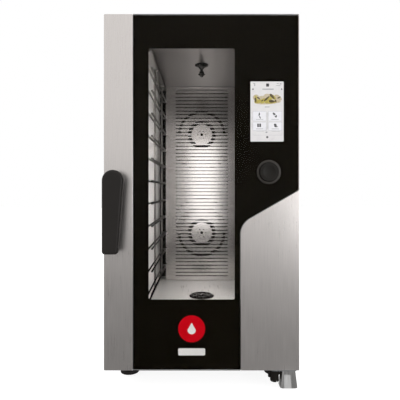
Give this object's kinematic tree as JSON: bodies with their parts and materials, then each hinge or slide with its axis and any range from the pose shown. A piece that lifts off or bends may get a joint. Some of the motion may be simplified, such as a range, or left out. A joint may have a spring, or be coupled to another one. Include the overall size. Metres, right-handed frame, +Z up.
{
  "type": "combi steamer oven",
  "caption": "Floor-standing combi steamer oven with a full-width glazed door, lever handle, screen and knob in the door, tray racks, fans, drain and hand shower.",
  "frame": {"origin": "on the floor, under the middle of the overall box", "axes": "+X to the viewer's right when facing the door, the door faces -Y, +Z up"},
  "size_m": [0.57, 0.978, 1.15],
  "materials": {
    "stainless": "brushed",
    "cavity_steel": "satin polished",
    "zinc_steel": "galvanised",
    "heater_metal": "oxidised",
    "motor_paint": "satin black",
    "wool": "mineral wool",
    "silicone": "matte",
    "brass_body": "cast",
    "black_plastic": "fine grain satin",
    "grey_ring": "satin",
    "shower_chrome": "polished",
    "shaft_steel": "turned",
    "door_glass": "clear",
    "lamp": "diffuser",
    "screen": "lit screen",
    "board": "solder mask"
  },
  "bodies": {
    "cabinet": {"left_side_panel": "stainless", "right_side_panel": "stainless", "top_panel": "stainless", "back_panel": "stainless", "front_frame": "stainless", "hinge_brackets": "stainless", "latch_keeper": "stainless", "cavity_side_walls": "cavity_steel", "cavity_ceiling": "cavity_steel", "cavity_floor": "cavity_steel", "cavity_back_wall": "cavity_steel", "fan_cover": "cavity_steel", "tray_rack_left": "cavity_steel", "tray_rack_right": "cavity_steel", "rack_studs": "cavity_steel", "drain_strainer": "cavity_steel", "wash_stem": "cavity_steel", "water_injector_pipes": "cavity_steel", "vent_pipe": "cavity_steel", "drain_pipe": "cavity_steel", "cover_screws": "cavity_steel", "base_pan": "zinc_steel", "heating_elements": "heater_metal", "shower_holder": "motor_paint", "fan_motors": "motor_paint", "insulation": "wool", "door_gasket": "silicone", "water_inlet_valves": "brass_body", "shower_valve": "black_plastic", "cable_gland": "black_plastic", "cooling_fan_frame": "black_plastic", "vent_actuator": "black_plastic", "terminal_block": "black_plastic", "shower_head": "shower_chrome", "power_board": "board"},
    "door": {"door_frame": "stainless", "door_outer_glass": "door_glass", "door_left_trim": "stainless", "door_right_trim": "stainless", "door_inner_glass": "door_glass", "door_led_bars": "lamp", "display_module": "screen", "control_board": "board", "knob_bezel": "grey_ring", "encoder_body": "black_plastic"},
    "handle": {"handle_lever": "black_plastic", "latch_hook": "stainless"},
    "knob_plunger": {"knob_plunger": "black_plastic"},
    "knob": {"knob_shaft": "shaft_steel", "knob_cap": "black_plastic"},
    "fan_upper": {"fan_wheel_upper": "cavity_steel"},
    "fan_lower": {"fan_wheel_lower": "cavity_steel"},
    "wash_rotor": {"wash_rotor": "cavity_steel"},
    "vent_flap": {"vent_flap": "cavity_steel"},
    "cooling_fan": {"cooling_fan_wheel": "black_plastic"},
    "shower_lever": {"shower_lever": "black_plastic"},
    "foot_front_left": {"foot_front_left": "black_plastic"},
    "foot_front_right": {"foot_front_right": "black_plastic"},
    "foot_rear_left": {"foot_rear_left": "black_plastic"},
    "foot_rear_right": {"foot_rear_right": "black_plastic"}
  },
  "joints": [
    {"name": "door_hinge", "type": "hinge", "parent": "cabinet", "child": "door", "pos_m": [0.277, -0.385, 0.59], "axis": [0, 0, 1], "range_deg": [0, 120]},
    {"name": "handle_turn", "type": "hinge", "parent": "door", "child": "handle", "pos_m": [-0.2475, -0.45, 0.625], "axis": [0, 1, 0], "range_deg": [-60, 60]},
    {"name": "knob_push", "type": "slide", "parent": "door", "child": "knob_plunger", "axis": [0, 1, 0], "range_m": [0, 0.001], "stiffness_N_per_m": 1500, "springref_m": -0.0005},
    {"name": "knob_turn", "type": "hinge", "parent": "knob_plunger", "child": "knob", "pos_m": [0.196, -0.44, 0.649], "axis": [0, 1, 0], "continuous": true},
    {"name": "fan_upper_spin", "type": "hinge", "parent": "cabinet", "child": "fan_upper", "pos_m": [0, 0.25, 0.843], "axis": [0, 1, 0], "continuous": true},
    {"name": "fan_lower_spin", "type": "hinge", "parent": "cabinet", "child": "fan_lower", "pos_m": [0, 0.25, 0.406], "axis": [0, 1, 0], "continuous": true},
    {"name": "wash_rotor_spin", "type": "hinge", "parent": "cabinet", "child": "wash_rotor", "pos_m": [0, -0.109, 1.026], "axis": [0, 0, 1], "continuous": true},
    {"name": "vent_flap_turn", "type": "hinge", "parent": "cabinet", "child": "vent_flap", "pos_m": [0.11, 0.25, 1.0995], "axis": [1, 0, 0], "range_deg": [0, 90]},
    {"name": "cooling_fan_spin", "type": "hinge", "parent": "cabinet", "child": "cooling_fan", "pos_m": [0.19, 0.44, 0.95], "axis": [0, 1, 0], "continuous": true},
    {"name": "shower_lever_press", "type": "hinge", "parent": "cabinet", "child": "shower_lever", "pos_m": [0.212, -0.405, 0.045], "axis": [0, 1, 0], "range_deg": [0, 12], "stiffness_Nm_per_rad": 0.2, "springref_deg": -5.73},
    {"name": "front_left_foot_adjust", "type": "slide", "parent": "cabinet", "child": "foot_front_left", "axis": [0, 0, -1], "range_m": [0, 0.02]},
    {"name": "front_right_foot_adjust", "type": "slide", "parent": "cabinet", "child": "foot_front_right", "axis": [0, 0, -1], "range_m": [0, 0.02]},
    {"name": "rear_left_foot_adjust", "type": "slide", "parent": "cabinet", "child": "foot_rear_left", "axis": [0, 0, -1], "range_m": [0, 0.02]},
    {"name": "rear_right_foot_adjust", "type": "slide", "parent": "cabinet", "child": "foot_rear_right", "axis": [0, 0, -1], "range_m": [0, 0.02]}
  ]
}
